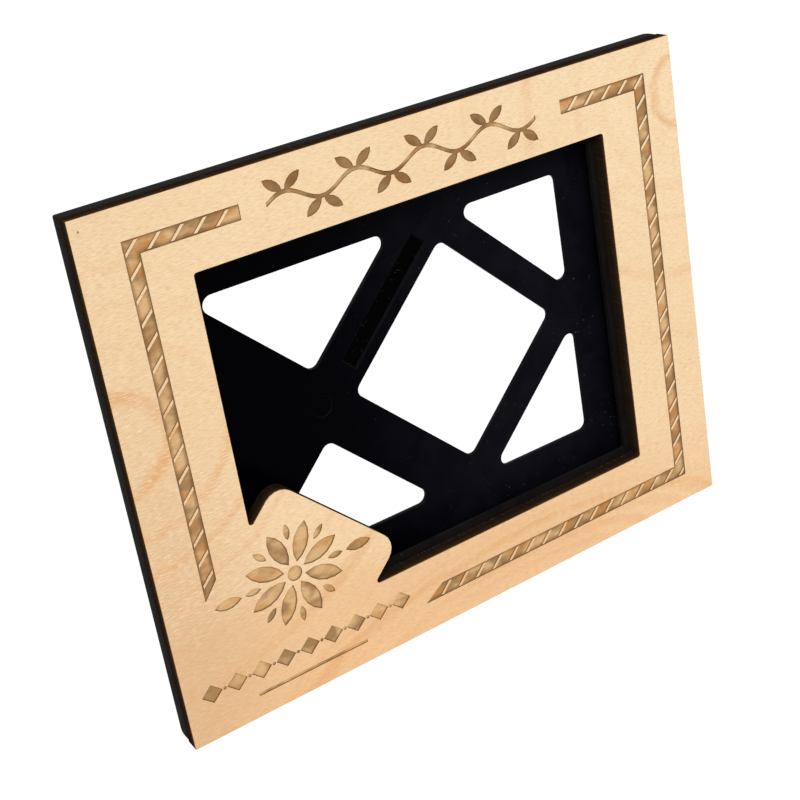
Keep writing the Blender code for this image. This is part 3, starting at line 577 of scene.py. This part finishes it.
# Panel: a glossier black lattice, with a skirt that reaches forward to the print, four round ejector
# marks, a shallow matt channel in one bar, and two posts whose heads hold the leg's bracket.
PANEL_BLACK = (0.0003, 0.0002, 0.0010)
# The lattice's painted sheen colour
PANEL_SHEEN = (0.0052, 0.0054, 0.0082)
# Across the frame, where the lattice's painted reflection is gone and where it is full
PANEL_REFLECTION_SPREAD = (-0.055, 0.035)
CHANNEL_BLACK = (0.0006, 0.0005, 0.0007)
PANEL_EDGE = 0.0003
CHANNEL_FLOOR = 0.00445

panel_finish = black_moulding("panel_plastic", PANEL_BLACK, PANEL_SHEEN,
                              roughness=0.28, texture=0.3, dust=1.0, level=0.012, spread=PANEL_REFLECTION_SPREAD)
channel_finish = black_moulding("channel_plastic", CHANNEL_BLACK, CHANNEL_BLACK,
                                roughness=0.70, texture=1.0, dust=0.8, level=0.01)
panel = rounded_copy("back_panel", "lattice_panel", "frame", PANEL_EDGE)
finish(panel, panel_finish, edge_finish, channel_finish)
for side in panel.data.polygons:
    if side.normal.y < -0.9 and abs(side.center.y - CHANNEL_FLOOR) < 1e-4:
        side.material_index = 2

# Bracket and leg: satin black mouldings. The bracket is held by the panel's posts, and its ears carry the
# pin on which the leg swings. The leg is a tapered, pocketed strut with a round foot.
LEG_BLACK = (0.0060, 0.0060, 0.0065)
# The painted sheen colour of the leg, the bracket and the clips
LEG_SHEEN = (0.0110, 0.0110, 0.0120)
LEG_EDGE = 0.0002

leg_finish = black_moulding("leg_plastic", LEG_BLACK, LEG_SHEEN,
                            roughness=0.40, texture=1.0, dust=0.3, level=0.3)
finish(rounded_copy("leg_bracket", "moulded_bracket", "frame", LEG_EDGE), leg_finish)
finish(rounded_copy("easel_leg", "moulded_leg", "leg", LEG_EDGE), leg_finish)

# Hinge pin and screws: zinc-plated steel. The pin has a head outside either ear of the bracket.
ZINC = (0.50, 0.51, 0.53)
ZINC_DULL = (0.34, 0.35, 0.36)
BLOOM = 0.0012
FINE_MARKS = (0.0012, 0.0003, 0.00008)
MARK_HEIGHT = 0.00002


def zinc_plate():
    """Bright zinc with a cloudy bloom and fine marks."""
    made, tree, shader = new_material("zinc_plate", 0.3, metallic=1.0)
    place = node(tree, "TexCoord", {}).outputs["Object"]
    bloom = noise(tree, stretched(tree, place, (BLOOM,) * 3), 4.0)
    marks = noise(tree, stretched(tree, place, FINE_MARKS), 2.0)
    tree.links.new(blend(tree, ramp(tree, bloom, 0.35, 0.7), ZINC, ZINC_DULL), shader.inputs["Base Color"])
    tree.links.new(ramp(tree, bloom, 0.3, 0.7, 0.24, 0.42), shader.inputs["Roughness"])
    bump = node(tree, "Bump", {"Height": marks, "Distance": MARK_HEIGHT, "Strength": 0.4})
    tree.links.new(bump.outputs[0], shader.inputs["Normal"])
    return made


zinc = zinc_plate()
refinish("hinge_pin", zinc)

# Turn-buttons: four small satin black clips that hold the panel in the body, each under a cross-recessed
# screw whose head stands just off it.
BUTTON_EDGE = 0.00015
SCREW_EDGE = 0.0001

for where in ("left", "right", "top", "bottom"):
    clip = rounded_copy(f"turn_button_{where}", f"turn_clip_{where}", f"button_{where}", BUTTON_EDGE)
    screw = rounded_copy(f"button_screw_{where}", f"clip_screw_{where}", "frame", SCREW_EDGE)
    finish(clip, leg_finish)
    finish(screw, zinc)

# Studio: a plain white floor, soft light from the upper left front, and the camera where the photograph's
# was, turned a little round its own axis.
FLOOR_DROP = 0.0002
FLOOR_SIZE = 12.0
FLOOR_GLOW = 0.85
FLOOR_PAINT = 0.8
GLOW_STRENGTH = 1.12
ROOM_STRENGTH = 0.62
KEY_STRENGTH = 1.5
KEY_SOFTNESS = math.radians(25)
KEY_AHEAD = (0.35, 0.75, -0.62)
LENS = 66.558
CAMERA_FROM_FACE = (-0.25753, -0.44445, 0.22935)
CAMERA_HEADING = math.radians(30.322)
CAMERA_DOWN = math.radians(19.565)
CAMERA_ROLL = math.radians(-9.213)
CAMERA_SHIFT = (-0.0375, -0.175)
FACE_CENTRE = (0.0, BOARD_FRONT, BOARD_MIDDLE)


def seen_by_eye(tree):
    """Whether a ray comes from the camera, straight or by way of a mirror or glass."""
    light = node(tree, "LightPath", {}).outputs
    through = maths(tree, "MAXIMUM", light["Is Glossy Ray"], light["Is Transmission Ray"])
    return maths(tree, "MAXIMUM", light["Is Camera Ray"], through)


def make_floor():
    """A white floor that keeps soft shadows."""
    mesh = bpy.data.meshes.new("floor")
    half = FLOOR_SIZE / 2
    mesh.from_pydata([(-half, -half, -FLOOR_DROP), (half, -half, -FLOOR_DROP), (half, half, -FLOOR_DROP),
                      (-half, half, -FLOOR_DROP)], [], [(0, 1, 2, 3)])
    made = bpy.data.materials.new("white_floor")
    made.use_nodes = True
    tree = made.node_tree
    tree.nodes.clear()
    glowing = maths(tree, "MULTIPLY", seen_by_eye(tree), FLOOR_GLOW)
    paint = node(tree, "BsdfDiffuse", {"Color": (FLOOR_PAINT, FLOOR_PAINT, FLOOR_PAINT, 1)}).outputs[0]
    glow = node(tree, "Emission", {"Color": (1, 1, 1, 1), "Strength": GLOW_STRENGTH}).outputs[0]
    mixed = node(tree, "MixShader", {0: glowing, 1: paint, 2: glow}).outputs[0]
    tree.links.new(mixed, node(tree, "OutputMaterial", {}).inputs["Surface"])
    mesh.materials.append(made)
    thing = bpy.data.objects.new("floor", mesh)
    bpy.context.scene.collection.objects.link(thing)


def make_lights():
    """A white room, and one soft light from the upper left front."""
    world = bpy.data.worlds.new("studio")
    bpy.context.scene.world = world
    world.use_nodes = True
    tree = world.node_tree
    tree.nodes.clear()
    strength = ramp(tree, seen_by_eye(tree), 0.0, 1.0, ROOM_STRENGTH, 1.0)
    room = node(tree, "Background", {"Color": (1, 1, 1, 1), "Strength": strength}).outputs[0]
    tree.links.new(room, node(tree, "OutputWorld", {}).inputs["Surface"])
    key = bpy.data.objects.new("key", bpy.data.lights.new("key", "SUN"))
    key.data.energy = KEY_STRENGTH
    key.data.angle = KEY_SOFTNESS
    key.rotation_euler = Vector(KEY_AHEAD).to_track_quat("-Z", "Y").to_euler()
    bpy.context.scene.collection.objects.link(key)


def make_camera():
    """The camera, placed from the middle of the board's face."""
    ahead = Vector((math.sin(CAMERA_HEADING) * math.cos(CAMERA_DOWN),
                    math.cos(CAMERA_HEADING) * math.cos(CAMERA_DOWN), -math.sin(CAMERA_DOWN)))
    level = Vector((ahead.y, -ahead.x, 0)).normalized()
    upright = level.cross(ahead)
    right = level * math.cos(CAMERA_ROLL) + upright * math.sin(CAMERA_ROLL)
    turn = Matrix((right, right.cross(ahead), -ahead)).transposed()
    camera = bpy.data.objects.new("camera", bpy.data.cameras.new("camera"))
    camera.data.sensor_width = 36
    camera.data.lens = LENS
    camera.data.shift_x, camera.data.shift_y = CAMERA_SHIFT
    camera.data.clip_start, camera.data.clip_end = 0.01, 50
    camera.matrix_world = Matrix.Translation(Vector(FACE_CENTRE) + Vector(CAMERA_FROM_FACE)) @ turn.to_4x4()
    bpy.context.scene.collection.objects.link(camera)
    bpy.context.scene.camera = camera


make_floor()
make_lights()
make_camera()
bpy.context.scene.view_settings.view_transform = "Standard"
